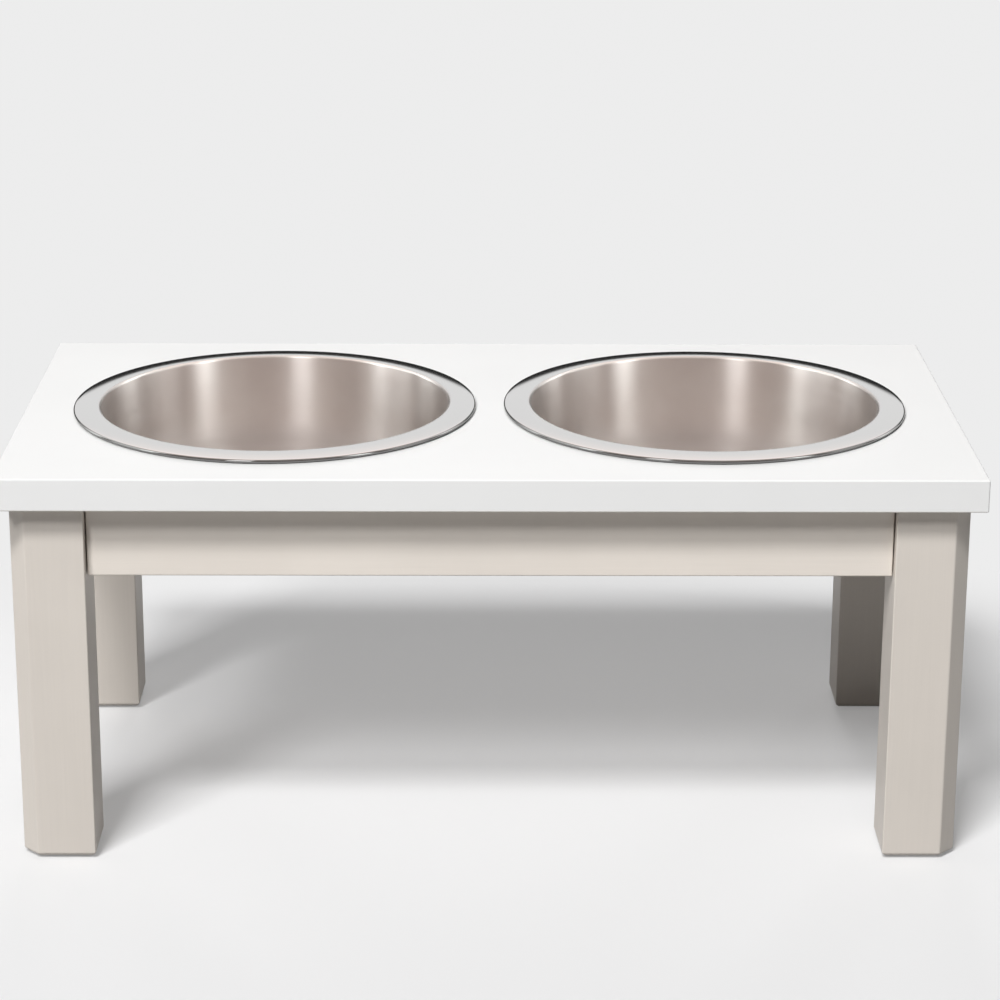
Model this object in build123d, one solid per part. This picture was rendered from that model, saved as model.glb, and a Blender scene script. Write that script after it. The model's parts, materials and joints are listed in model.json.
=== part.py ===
from build123d import *
from math import atan, cos, degrees, radians, sin, sqrt, tan
import os

# An elevated pet feeder: a white board on four legs, with two lift-out stainless bowls.
# Millimetres. The origin is on the floor under the middle of the board, and the front faces -Y.

# Bowls
bowl_mouth_radius = 104.5
bowl_rim_width = 16.7
bowl_rim_gap = 16.8
bowl_rim_rise = 3.6
bowl_lip_radius = 1.6
bowl_roll_radius = 1.3
bowl_roll_turn = 265.0
bowl_wall = 0.7
bowl_depth = 71.0
bowl_wall_draft = 1.2
bowl_corner_radius = 28.0
bowl_seat_gap = 0.2

# Tabletop and its cut-outs
overall_height = 236.0
top_thickness = 19.0
top_overhang_end = 6.5
top_overhang_front = 12.0
top_edge_radius = 1.0
bowl_hole_clearance = 2.4
hole_edge_chamfer = 0.8

# Legs
leg_width = 43.0
leg_depth = 39.0
leg_corner_chamfer = 9.2
leg_foot_ease = 2.0
leg_bolt_flat = 6.0

# Rails under the top
rail_height = 44.0
rail_thickness = 18.0
rail_setback = 6.0
rail_end_gap = 0.7
rail_edge_ease = 1.0
bowl_to_long_rail = 8.8
bowl_to_side_rail = 14.2

# Corner blocks
block_set_up = 6.0
block_leg_gap = 2.0
block_bolt_cover = 16.0

# Foot pads
pad_radius = 13.0
pad_thickness = 3.0
pad_stand_off = 1.2
pad_seat_clearance = 0.3
pad_edge_radius = 0.5

# Leg bolts, washers and nuts
bolt_radius = 3.0
bolt_grip_in_leg = 25.0
bolt_tip_length = 4.0
bolt_tip_radius = 0.8
bolt_end_chamfer = 0.6
bolt_end_past_nut = 2.5
bolt_block_clearance = 0.3
washer_radius = 9.0
washer_thickness = 1.6
nut_width = 10.0
nut_height = 5.0
thread_clearance = 0.05

# Wood screws
screw_radius = 1.9
screw_head_radius = 3.8
screw_head_height = 2.6
screw_head_ease = 0.9
screw_tip_length = 3.0
screw_tip_radius = 0.5
screw_seat_clearance = 0.7
screw_recess_radius = 1.4
screw_recess_depth = 1.5
pilot_end_gap = 1.0
block_screw_wood = 12.0
block_screw_cover = 5.0
block_screw_from_notch = 20.0
top_screw_wood = 16.0
top_screw_cover = 7.0
top_screw_from_notch = 8.0

# Dowels
dowel_radius = 4.0
dowel_depth = 15.0
dowel_spacing = 22.0
dowel_end_gap = 1.0
dowel_end_chamfer = 0.8
dowel_clearance = 0.05

# The feeder is laid out from its bowls outwards: bowl, rail, leg face, edge of the top.
bowl_outer_radius = bowl_mouth_radius + bowl_wall
bowl_rim_radius = bowl_mouth_radius + bowl_rim_width
bowl_hole_radius = bowl_outer_radius + bowl_hole_clearance
bowl_x = bowl_rim_radius + bowl_rim_gap / 2
long_rail_inner_y = bowl_outer_radius + bowl_to_long_rail
side_rail_inner_x = bowl_x + bowl_outer_radius + bowl_to_side_rail
long_rail_y = long_rail_inner_y + rail_thickness / 2
side_rail_x = side_rail_inner_x + rail_thickness / 2
leg_outer_x = side_rail_inner_x + rail_thickness + rail_setback
leg_outer_y = long_rail_inner_y + rail_thickness + rail_setback
leg_inner_x = leg_outer_x - leg_width
leg_inner_y = leg_outer_y - leg_depth
top_length = 2 * (leg_outer_x + top_overhang_end)
top_depth = 2 * (leg_outer_y + top_overhang_front)
top_underside = overall_height - top_thickness
top_middle_z = overall_height - top_thickness / 2
rail_middle_z = top_underside - rail_height / 2

# The leg bolts run at 45 degrees through the inner corners of the legs.
# Distances along a bolt are counted from that corner, towards the middle of the feeder.
root_two = sqrt(2)
leg_flat_at = -leg_bolt_flat / root_two
block_face_at = block_leg_gap * root_two + block_bolt_cover
nut_seat_at = block_face_at + washer_thickness
bolt_end_at = nut_seat_at + nut_height + bolt_end_past_nut
bolt_tip_at = leg_flat_at - bolt_grip_in_leg

# A corner block is notched round the leg. Its sloping face is where x + y is one sum.
notch_x = leg_inner_x - block_leg_gap
notch_y = leg_inner_y - block_leg_gap
block_height = rail_height - block_set_up
block_face_sum = leg_inner_x + leg_inner_y - block_face_at * root_two
block_length = side_rail_inner_x + long_rail_inner_y - block_face_sum
block_screw_x = notch_x - block_screw_from_notch
block_screw_y = notch_y - block_screw_from_notch
block_screw_bite = rail_thickness - block_screw_cover
top_screw_bite = top_thickness - top_screw_cover

corners = {
    "front_left": (-1, -1),
    "front_right": (1, -1),
    "back_left": (-1, 1),
    "back_right": (1, 1),
}
rails = {
    "front_rail": (0, -1),
    "back_rail": (0, 1),
    "left_rail": (-1, 0),
    "right_rail": (1, 0),
}
dowel_heights = [rail_middle_z - dowel_spacing / 2, rail_middle_z + dowel_spacing / 2]


def prism(points, bottom, height):
    """A straight-sided block over an outline of (x, y) points."""
    with BuildSketch(Plane.XY.offset(bottom)) as outline:
        with BuildLine():
            Polyline(*points, close=True)
        make_face()
    return extrude(outline.sketch, amount=height)


def turned(points, place):
    """A solid of revolution about the Z axis of a place, from (radius, height) points."""
    with BuildSketch(Plane.XZ) as outline:
        with BuildLine():
            Polyline(*points, close=True)
        make_face()
    return place.location * revolve(outline.sketch, Axis.Z)


def rod(place, radius, start, end):
    """A round bar along the Z axis of a place, between two distances along it."""
    bar = Cylinder(radius, end - start, align=(Align.CENTER, Align.CENTER, Align.MIN))
    return place.location * Pos(0, 0, start) * bar


def bolt_place(side_x, side_y):
    """The line of a leg bolt, which starts at the inner corner of the leg."""
    return Plane(
        origin=(side_x * leg_inner_x, side_y * leg_inner_y, rail_middle_z),
        z_dir=(-side_x, -side_y, 0),
    )


def pad_place(side_x, side_y):
    """The middle of a foot pad, on the floor."""
    return Plane(origin=(
        side_x * (leg_inner_x + leg_width / 2),
        side_y * (leg_inner_y + leg_depth / 2),
        0,
    ))


def dowel_places(side_x, side_y):
    """Where the dowels of one leg cross the joints, pointing out of the leg."""
    places = []
    for height in dowel_heights:
        long_joint = (side_x * leg_inner_x, side_y * long_rail_y, height)
        side_joint = (side_x * side_rail_x, side_y * leg_inner_y, height)
        places.append(Plane(origin=long_joint, z_dir=(-side_x, 0, 0)))
        places.append(Plane(origin=side_joint, z_dir=(0, -side_y, 0)))
    return places


def block_screw_places(side_x, side_y):
    """Where the screws of one block meet its rails, pointing back at their heads."""
    into_long = (side_x * block_screw_x, side_y * long_rail_inner_y, rail_middle_z)
    into_side = (side_x * side_rail_inner_x, side_y * block_screw_y, rail_middle_z)
    return [
        Plane(origin=into_long, z_dir=(0, -side_y, 0)),
        Plane(origin=into_side, z_dir=(-side_x, 0, 0)),
    ]


def top_screw_places(side_x, side_y):
    """Where the screws of one block meet the tabletop, pointing down at their heads."""
    near_long = (notch_x - top_screw_from_notch, (notch_y + long_rail_inner_y) / 2)
    near_side = ((notch_x + side_rail_inner_x) / 2, notch_y - top_screw_from_notch)
    return [
        Plane(origin=(side_x * x, side_y * y, top_underside), z_dir=(0, 0, -1))
        for x, y in (near_long, near_side)
    ]


def screw(place, wood, bite):
    """A pan-head screw that holds so much wood under its head and bites so deep past it."""
    head = [
        (0, -bite),
        (screw_tip_radius, -bite),
        (screw_radius, -bite + screw_tip_length),
        (screw_radius, wood),
        (screw_head_radius, wood),
        (screw_head_radius, wood + screw_head_height - screw_head_ease),
        (screw_head_radius - screw_head_ease, wood + screw_head_height),
        (screw_recess_radius, wood + screw_head_height),
        (0, wood + screw_head_height - screw_recess_depth),
    ]
    return turned(head, place)


def screw_hole(place, wood):
    """The hole for a screw through a corner block, with a wider seat for its head."""
    bore = rod(place, screw_radius + thread_clearance, 0, wood)
    seat = rod(place, screw_head_radius + screw_seat_clearance, wood, wood + block_length)
    return bore + seat


def pilot_hole(place, bite):
    """The hole that the point of a screw bites into."""
    return rod(place, screw_radius + thread_clearance, -bite - pilot_end_gap, 0)


def build_tabletop():
    board = fillet(Box(top_length, top_depth, top_thickness).edges(), top_edge_radius)
    for side in (-1, 1):
        board -= Pos(side * bowl_x, 0, 0) * Cylinder(bowl_hole_radius, top_thickness)
    hole_edges = board.edges().filter_by(GeomType.CIRCLE).group_by(SortBy.RADIUS)[-1]
    board = Pos(0, 0, top_middle_z) * chamfer(hole_edges, hole_edge_chamfer)
    for signs in corners.values():
        for place in top_screw_places(*signs):
            board -= pilot_hole(place, top_screw_bite)
    return board


def build_leg(side_x, side_y):
    outline = [
        (side_x * leg_inner_x, side_y * leg_inner_y),
        (side_x * leg_outer_x, side_y * leg_inner_y),
        (side_x * leg_outer_x, side_y * (leg_outer_y - leg_corner_chamfer)),
        (side_x * (leg_outer_x - leg_corner_chamfer), side_y * leg_outer_y),
        (side_x * leg_inner_x, side_y * leg_outer_y),
    ]
    leg = prism(outline, pad_stand_off, top_underside - pad_stand_off)
    leg = chamfer(leg.faces().sort_by(Axis.Z)[0].edges(), leg_foot_ease)
    flat = [
        (side_x * leg_inner_x, side_y * leg_inner_y),
        (side_x * (leg_inner_x + leg_bolt_flat), side_y * leg_inner_y),
        (side_x * leg_inner_x, side_y * (leg_inner_y + leg_bolt_flat)),
    ]
    leg -= prism(flat, top_underside - rail_height, rail_height)
    hole_end = bolt_tip_at - pilot_end_gap
    leg -= rod(bolt_place(side_x, side_y), bolt_radius + thread_clearance, hole_end, 0)
    for place in dowel_places(side_x, side_y):
        leg -= rod(place, dowel_radius + dowel_clearance, -dowel_depth - dowel_end_gap, 0)
    leg -= rod(pad_place(side_x, side_y), pad_radius + pad_seat_clearance, 0, pad_thickness)
    return leg


def build_foot_pad(side_x, side_y):
    pad = rod(pad_place(side_x, side_y), pad_radius, 0, pad_thickness)
    return fillet(pad.edges().group_by(Axis.Z)[0], pad_edge_radius)


def build_rail(side_x, side_y):
    if side_x == 0:
        length = 2 * (leg_inner_x - rail_end_gap)
        board = Box(length, rail_thickness, rail_height)
    else:
        length = 2 * (leg_inner_y - rail_end_gap)
        board = Box(rail_thickness, length, rail_height)
    lower_edges = board.edges().group_by(Axis.Z)[0].sort_by(SortBy.LENGTH)[-2:]
    board = fillet(lower_edges, rail_edge_ease)
    board = Pos(side_x * side_rail_x, side_y * long_rail_y, rail_middle_z) * board
    reach = rail_end_gap + dowel_depth + dowel_end_gap
    for signs in corners.values():
        for place in dowel_places(*signs):
            board -= rod(place, dowel_radius + dowel_clearance, 0, reach)
        for place in block_screw_places(*signs):
            board -= pilot_hole(place, block_screw_bite)
    return board


def build_corner_block(side_x, side_y):
    outline = [
        (side_x * notch_x, side_y * notch_y),
        (side_x * side_rail_inner_x, side_y * notch_y),
        (side_x * side_rail_inner_x, side_y * (block_face_sum - side_rail_inner_x)),
        (side_x * (block_face_sum - long_rail_inner_y), side_y * long_rail_inner_y),
        (side_x * notch_x, side_y * long_rail_inner_y),
    ]
    block = prism(outline, top_underside - block_height, block_height)
    bolt_hole_radius = bolt_radius + bolt_block_clearance
    block -= rod(bolt_place(side_x, side_y), bolt_hole_radius, -bolt_hole_radius, bolt_end_at)
    for place in block_screw_places(side_x, side_y):
        block -= screw_hole(place, block_screw_wood)
    for place in top_screw_places(side_x, side_y):
        block -= screw_hole(place, top_screw_wood)
    return block


def build_hanger_bolt(side_x, side_y):
    """A headless bolt: a pointed wood end in the leg, a straight end through the nut."""
    outline = [
        (0, bolt_tip_at),
        (bolt_tip_radius, bolt_tip_at),
        (bolt_radius, bolt_tip_at + bolt_tip_length),
        (bolt_radius, bolt_end_at - bolt_end_chamfer),
        (bolt_radius - bolt_end_chamfer, bolt_end_at),
        (0, bolt_end_at),
    ]
    return turned(outline, bolt_place(side_x, side_y))


def build_washer(side_x, side_y):
    place = bolt_place(side_x, side_y)
    disc = rod(place, washer_radius, block_face_at, nut_seat_at)
    return disc - rod(place, bolt_radius + thread_clearance, block_face_at, nut_seat_at)


def build_nut(side_x, side_y):
    place = bolt_place(side_x, side_y)
    with BuildSketch() as outline:
        RegularPolygon(nut_width / 2, 6, major_radius=False)
    nut = place.location * Pos(0, 0, nut_seat_at) * extrude(outline.sketch, amount=nut_height)
    return nut - rod(place, bolt_radius + thread_clearance, nut_seat_at, bolt_end_at)


def build_dowel(place):
    """A fluted dowel's plain round body, with eased ends."""
    ends = [-dowel_depth, rail_end_gap + dowel_depth]
    dowel = rod(place, dowel_radius, *ends)
    return chamfer(dowel.edges().filter_by(GeomType.CIRCLE), dowel_end_chamfer)


def bowl_line(depth_in_sheet):
    """Half the section of a bowl, at a depth in the sheet counted from its food side."""
    draft = radians(bowl_wall_draft)
    lip_radius = bowl_lip_radius - depth_in_sheet
    crest_radius = bowl_mouth_radius + bowl_lip_radius * cos(draft)
    wall_top_radius = crest_radius - lip_radius * cos(draft)
    wall_top_z = bowl_rim_rise - bowl_lip_radius + lip_radius * sin(draft)
    base_z = -bowl_depth - depth_in_sheet
    base_radius = wall_top_radius - (wall_top_z - base_z) * tan(draft)

    # The rim falls away from its crest to the rolled edge in one shallow arc.
    rim_span = bowl_rim_radius - bowl_roll_radius - crest_radius
    rim_fall = bowl_rim_rise - bowl_seat_gap - 2 * bowl_roll_radius
    rim_angle = 2 * atan(rim_fall / rim_span)
    rim_crown = rim_span / sin(rim_angle) + bowl_roll_radius

    with BuildLine() as half:
        wall = FilletPolyline(
            (0, base_z),
            (base_radius, base_z),
            (wall_top_radius, wall_top_z),
            radius=bowl_corner_radius + depth_in_sheet,
        )
        lip = JernArc(wall @ 1, wall % 1, lip_radius, bowl_wall_draft - 90)
        rim = JernArc(lip @ 1, lip % 1, rim_crown - depth_in_sheet, -degrees(rim_angle))
        JernArc(rim @ 1, rim % 1, bowl_roll_radius - depth_in_sheet, -bowl_roll_turn)
    return half.wire()


def build_bowl(side):
    """A spun bowl, turned from the section of its sheet."""
    food_side = bowl_line(0)
    under_side = bowl_line(bowl_wall)
    middle = Line(under_side @ 0, food_side @ 0)
    rolled_end = Line(food_side @ 1, under_side @ 1)
    section = make_face([*food_side.edges(), *under_side.edges(), middle, rolled_end])
    bowl = revolve(Plane.XZ.location * section, Axis.Z)
    return Pos(side * bowl_x, 0, overall_height) * bowl


def group(solids):
    """Identical pieces that share one node, each as its own solid."""
    return Compound(children=list(solids))


parts = {"tabletop": build_tabletop()}
for name, signs in rails.items():
    parts[name] = build_rail(*signs)
for name, signs in corners.items():
    parts["leg_" + name] = build_leg(*signs)
    parts["corner_block_" + name] = build_corner_block(*signs)
    parts["foot_pad_" + name] = build_foot_pad(*signs)
parts["hanger_bolts"] = group(build_hanger_bolt(*signs) for signs in corners.values())
parts["bolt_washers"] = group(build_washer(*signs) for signs in corners.values())
parts["hex_nuts"] = group(build_nut(*signs) for signs in corners.values())
parts["rail_dowels"] = group(
    build_dowel(place) for signs in corners.values() for place in dowel_places(*signs)
)
parts["block_screws"] = group(
    screw(place, block_screw_wood, block_screw_bite)
    for signs in corners.values()
    for place in block_screw_places(*signs)
)
parts["top_screws"] = group(
    screw(place, top_screw_wood, top_screw_bite)
    for signs in corners.values()
    for place in top_screw_places(*signs)
)
parts["bowl_left"] = build_bowl(-1)
parts["bowl_right"] = build_bowl(1)

os.makedirs("parts", exist_ok=True)
for name, shape in parts.items():
    export_step(shape, "parts/" + name + ".step")
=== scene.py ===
import json
from math import atan, cos, pi, radians, sin, tan

import bmesh
import bpy
from mathutils import Matrix, Vector


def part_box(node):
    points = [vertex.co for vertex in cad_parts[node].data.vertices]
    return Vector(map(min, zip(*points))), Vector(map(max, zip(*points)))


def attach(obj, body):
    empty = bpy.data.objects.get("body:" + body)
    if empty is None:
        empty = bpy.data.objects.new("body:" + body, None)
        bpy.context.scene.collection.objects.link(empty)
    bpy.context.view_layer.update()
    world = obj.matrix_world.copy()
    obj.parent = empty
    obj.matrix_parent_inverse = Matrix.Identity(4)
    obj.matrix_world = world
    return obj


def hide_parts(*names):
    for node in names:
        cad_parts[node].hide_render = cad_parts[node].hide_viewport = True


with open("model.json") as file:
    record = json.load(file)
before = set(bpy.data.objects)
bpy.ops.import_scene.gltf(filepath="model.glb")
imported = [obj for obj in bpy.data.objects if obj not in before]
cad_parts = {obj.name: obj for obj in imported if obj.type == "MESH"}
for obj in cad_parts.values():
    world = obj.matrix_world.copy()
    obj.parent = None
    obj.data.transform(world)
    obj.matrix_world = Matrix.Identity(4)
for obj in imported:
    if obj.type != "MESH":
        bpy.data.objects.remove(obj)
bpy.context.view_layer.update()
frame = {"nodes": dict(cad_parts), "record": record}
scene = bpy.context.scene
scene.view_settings.view_transform = "Standard"
print("frame loaded,", len(frame["nodes"]), "nodes")


class Wire:
    # A node socket that plain Python signs work on: every sign adds one Math node
    def __init__(self, tree, socket=None):
        self.tree = tree
        self.socket = socket

    def node(self, kind, settings=None, inputs=None, output=0):
        made = self.tree.nodes.new(kind)
        for name, value in (settings or {}).items():
            setattr(made, name, value)
        for key, value in (inputs or {}).items():
            if isinstance(value, Wire):
                self.tree.links.new(value.socket, made.inputs[key])
            elif made.inputs[key].type == "RGBA":
                made.inputs[key].default_value = (*value, 1)
            else:
                made.inputs[key].default_value = value
        return Wire(self.tree, made.outputs[output])

    def maths(self, operation, *values):
        return self.node("ShaderNodeMath", {"operation": operation}, dict(enumerate(values)))

    def __add__(self, other):
        return self.maths("ADD", self, other)

    def __sub__(self, other):
        return self.maths("SUBTRACT", self, other)

    def __rsub__(self, other):
        return self.maths("SUBTRACT", other, self)

    def __mul__(self, other):
        return self.maths("MULTIPLY", self, other)

    def __truediv__(self, other):
        return self.maths("DIVIDE", self, other)

    def __pow__(self, other):
        return self.maths("POWER", self, other)

    def __mod__(self, other):
        return self.maths("FLOORED_MODULO", self, other)

    __radd__ = __add__
    __rmul__ = __mul__

    def sine(self):
        return self.maths("SINE", self)

    def cosine(self):
        return self.maths("COSINE", self)

    def size(self):
        return self.maths("ABSOLUTE", self)

    def least(self, other):
        return self.maths("MINIMUM", self, other)

    def most(self, other):
        return self.maths("MAXIMUM", self, other)

    def rise(self, start, end):  # 0 before start, 1 after end, smooth between
        sockets = {"Value": self, "From Min": start, "From Max": end}
        return self.node("ShaderNodeMapRange", {"interpolation_type": "SMOOTHSTEP"}, sockets)

    def axes(self):
        split = self.node("ShaderNodeSeparateXYZ", None, {0: self}).socket.node
        return [Wire(self.tree, socket) for socket in split.outputs]

    def vector(self, x, y, z):
        return self.node("ShaderNodeCombineXYZ", None, {0: x, 1: y, 2: z})

    def stretched(self, x, y, z):
        return self.node("ShaderNodeVectorMath", {"operation": "MULTIPLY"}, {0: self, 1: (x, y, z)})

    def noise(self, scale, detail=2.0, roughness=0.5, distortion=0.0):
        sockets = {"Vector": self, "Scale": scale, "Detail": detail}
        sockets.update({"Roughness": roughness, "Distortion": distortion})
        return self.node("ShaderNodeTexNoise", None, sockets)

    def tint(self, low, high):  # two colours, plain or wired, mixed by this value
        return self.node("ShaderNodeMix", {"data_type": "RGBA"}, {0: self, 6: low, 7: high}, 2)

    def bump(self, depth, strength=1.0, under=None):
        sockets = {"Height": self, "Distance": depth, "Strength": strength}
        if under:
            sockets["Normal"] = under
        return self.node("ShaderNodeBump", None, sockets)


def newFinish(name, constants, paint):
    # A Principled material: constants sit on its own sockets, paint() gives the ones that vary
    finish = bpy.data.materials.new(name)
    finish.use_nodes = True
    tree = finish.node_tree
    shader = tree.nodes["Principled BSDF"]
    for key, value in constants.items():
        shader.inputs[key].default_value = value
    for key, wire in paint(Wire(tree)).items():
        tree.links.new(wire.socket, shader.inputs[key])
    return finish


def objectPlace(wire):
    return wire.node("ShaderNodeTexCoord", output="Object")


def lightPath(wire, *kinds):
    # 1 for a ray of any of these kinds
    path = wire.node("ShaderNodeLightPath").socket.node
    first, *rest = [Wire(wire.tree, path.outputs["Is " + kind + " Ray"]) for kind in kinds]
    for other in rest:
        first = first.most(other)
    return first


# Finishes

whiteCoat = {
    "colour": (0.857, 0.857, 0.851),
    "shade": (0.84, 0.84, 0.835),
    "creamLowEdge": (0.9, 0.86, 0.79),
    "edgeHeight": 0.0011,
    "edgeShow": 0.6,
    "cloud": 9.0,
    "cloudDetail": 3.0,
    "cloudFrom": (0.3, 0.7),
    "stipple": 900.0,
    "stippleSpread": 0.55,
    "stippleDepth": 0.00001,
    "roughness": (0.34, 0.46),
}


def paintTop(wire):
    place = objectPlace(wire)
    cloud = place.noise(whiteCoat["cloud"], whiteCoat["cloudDetail"]).rise(*whiteCoat["cloudFrom"])
    stipple = place.noise(whiteCoat["stipple"], roughness=whiteCoat["stippleSpread"])
    # The board is tinted cream within edgeHeight of its underside, the underside included
    height = place.axes()[2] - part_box("tabletop")[0].z
    edge = 1 - height.rise(whiteCoat["edgeHeight"] / 2, whiteCoat["edgeHeight"])
    coat = cloud.tint(whiteCoat["shade"], whiteCoat["colour"])
    low, high = whiteCoat["roughness"]
    return {
        "Base Color": (edge * whiteCoat["edgeShow"]).tint(coat, whiteCoat["creamLowEdge"]),
        "Roughness": stipple * (high - low) + low,
        "Normal": stipple.bump(whiteCoat["stippleDepth"]),
    }


taupeCoat = {
    "colour": (0.725, 0.670, 0.610),
    "shade": (0.690, 0.637, 0.580),
    # Painted light and shade: the legs are painted a little darker and the rails lighter than their one
    # shared paint, in place of light the lamps don't give them
    "legTone": 0.975,
    "railTone": 1.12,
    "grainAcross": 700.0,
    "grainAlong": 14.0,
    "grainForm": (3.0, 0.6, 0.4),  # detail, roughness, distortion
    "grainDepth": 0.000022,
    "grainRelief": 0.6,
    "grainShow": 0.35,
    "cloud": 14.0,
    "cloudDetail": 3.0,
    "toneFrom": (0.3, 0.7),
    "stipple": 1100.0,
    "stippleDepth": 0.000006,
    "stippleRelief": 0.8,
    "roughness": (0.38, 0.52),
}


def paintedWood(along, paintedLightness):
    # The grain runs along one axis of the piece and only just shows through the paint
    def paint(wire):
        place = objectPlace(wire)
        scales = [taupeCoat["grainAcross"]] * 3
        scales[along] = taupeCoat["grainAlong"]
        grain = place.stretched(*scales).noise(1.0, *taupeCoat["grainForm"])
        stipple = place.noise(taupeCoat["stipple"])
        cloud = place.noise(taupeCoat["cloud"], taupeCoat["cloudDetail"])
        low, high = taupeCoat["roughness"]
        show = taupeCoat["grainShow"]
        tone = (grain * show + cloud * (1 - show)).rise(*taupeCoat["toneFrom"])
        # Painted light and shade: each piece's paint is scaled lighter or darker here
        shade, colour = [tuple(part * paintedLightness for part in taupeCoat[key]) for key in ("shade", "colour")]
        surface = stipple.bump(taupeCoat["stippleDepth"], taupeCoat["stippleRelief"])
        return {
            "Base Color": tone.tint(shade, colour),
            "Roughness": (grain + stipple) * ((high - low) / 2) + low,
            "Normal": grain.bump(taupeCoat["grainDepth"], taupeCoat["grainRelief"], surface),
        }
    return paint


plainWood = {
    "early": (0.80, 0.62, 0.40),
    "late": (0.52, 0.33, 0.17),
    "ringWidth": 0.0032,
    "ringFrom": (0.45, 0.95),
    "ringShow": 0.75,
    "ringSquash": 0.4,
    "ringDepth": 0.5,
    "heartAway": 0.06,
    "wander": 0.006,
    "wanderScale": 22.0,
    "fibreAlong": 60.0,
    "fibreAcross": 900.0,
    "fibreForm": (3.0, 0.6),  # detail, roughness
    "fibreShow": 0.2,
    "depth": 0.00006,
    "relief": 0.8,
    "roughness": (0.78, 0.6),
}


def paintBareWood(wire):
    place = objectPlace(wire)
    wander = place.noise(plainWood["wanderScale"]) * plainWood["wander"]
    x, y, z = place.axes()
    aside = x.size() * plainWood["ringSquash"] + y.size()
    away = ((z + plainWood["heartAway"]) ** 2.0 + aside ** 2.0) ** 0.5
    ring = ((away + wander) / plainWood["ringWidth"]) % 1.0
    along, across = plainWood["fibreAlong"], plainWood["fibreAcross"]
    fibre = place.stretched(along, along, across).noise(1.0, *plainWood["fibreForm"])
    late = ring.rise(*plainWood["ringFrom"]) * plainWood["ringShow"] + fibre * plainWood["fibreShow"]
    early, end = plainWood["roughness"]
    return {
        "Base Color": late.tint(plainWood["early"], plainWood["late"]),
        "Roughness": late * (end - early) + early,
        "Normal": (fibre + late * plainWood["ringDepth"]).bump(plainWood["depth"], plainWood["relief"]),
    }


beech = {
    "colour": (0.80, 0.64, 0.46),
    "fleckColour": (0.62, 0.44, 0.27),
    "fleck": (500.0, 500.0, 900.0),
    "fleckFrom": (0.4, 0.75),
    "depth": 0.00004,
    "roughness": (0.55, 0.75),
}


def paintDowelWood(wire):
    fleck = objectPlace(wire).stretched(*beech["fleck"]).noise(1.0)
    low, high = beech["roughness"]
    return {
        "Base Color": fleck.rise(*beech["fleckFrom"]).tint(beech["colour"], beech["fleckColour"]),
        "Roughness": fleck * (high - low) + low,
        "Normal": fleck.bump(beech["depth"]),
    }


zincPlate = {
    "blue": (0.66, 0.68, 0.71),
    "yellow": (0.72, 0.70, 0.63),
    "film": 120.0,
    "filmFrom": (0.3, 0.7),
    "grit": 2600.0,
    "depth": 0.000008,
    "roughness": (0.22, 0.47),
}


def paintZinc(wire):
    place = objectPlace(wire)
    film = place.noise(zincPlate["film"]).rise(*zincPlate["filmFrom"])
    grit = place.noise(zincPlate["grit"])
    low, high = zincPlate["roughness"]
    return {
        "Base Color": film.tint(zincPlate["blue"], zincPlate["yellow"]),
        "Roughness": grit * (high - low) + low,
        "Normal": grit.bump(zincPlate["depth"]),
    }


rubber = {
    "colour": (0.018, 0.018, 0.019),
    "dust": (0.05, 0.05, 0.05),
    "grain": 1400.0,
    "grainForm": (3.0, 0.65),  # detail, roughness
    "depth": 0.00004,
    "roughness": (0.7, 0.9),
}


def paintRubber(wire):
    grain = objectPlace(wire).noise(rubber["grain"], *rubber["grainForm"])
    low, high = rubber["roughness"]
    return {
        "Base Color": grain.tint(rubber["colour"], rubber["dust"]),
        "Roughness": grain * (high - low) + low,
        "Normal": grain.bump(rubber["depth"]),
    }


bowlSteel = {
    "colour": (0.76, 0.725, 0.70),
    "stain": (0.72, 0.675, 0.65),
    "rimColour": (0.76, 0.755, 0.75),
    "paintedSeamShade": 0.28,  # painted shade: the rolled edge's colour darkens as it turns down to the tabletop, standing in for the dark room it mirrors and its contact shadow
    "paintedShadeFrom": 0.0004,
    "brushDepth": 0.000003,
    "brushWidth": 0.0009,
    "brushRound": 1.5,
    "brushForm": (3.0, 0.7),  # detail, roughness
    "broadAlong": 260.0,
    "broadRound": 0.8,
    "lipEdge": (0.0018, 0.003),
    "paintedShadeBlend": 0.0003,
    "underBlend": 0.001,
    "cornerBlend": (-0.01, 0.012),
    "stainScale": 30.0,
    "stainFrom": (0.3, 0.7),
    "wear": 0.08,
    "insideRoughness": 0.3,
    "cornerRoughness": 0.25,
    "rimRoughness": 0.06,
    "anisotropy": 0.95,
    "anisotropyTurn": 0.25,  # highlights run across the brushing, which goes round the bowl
}


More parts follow.
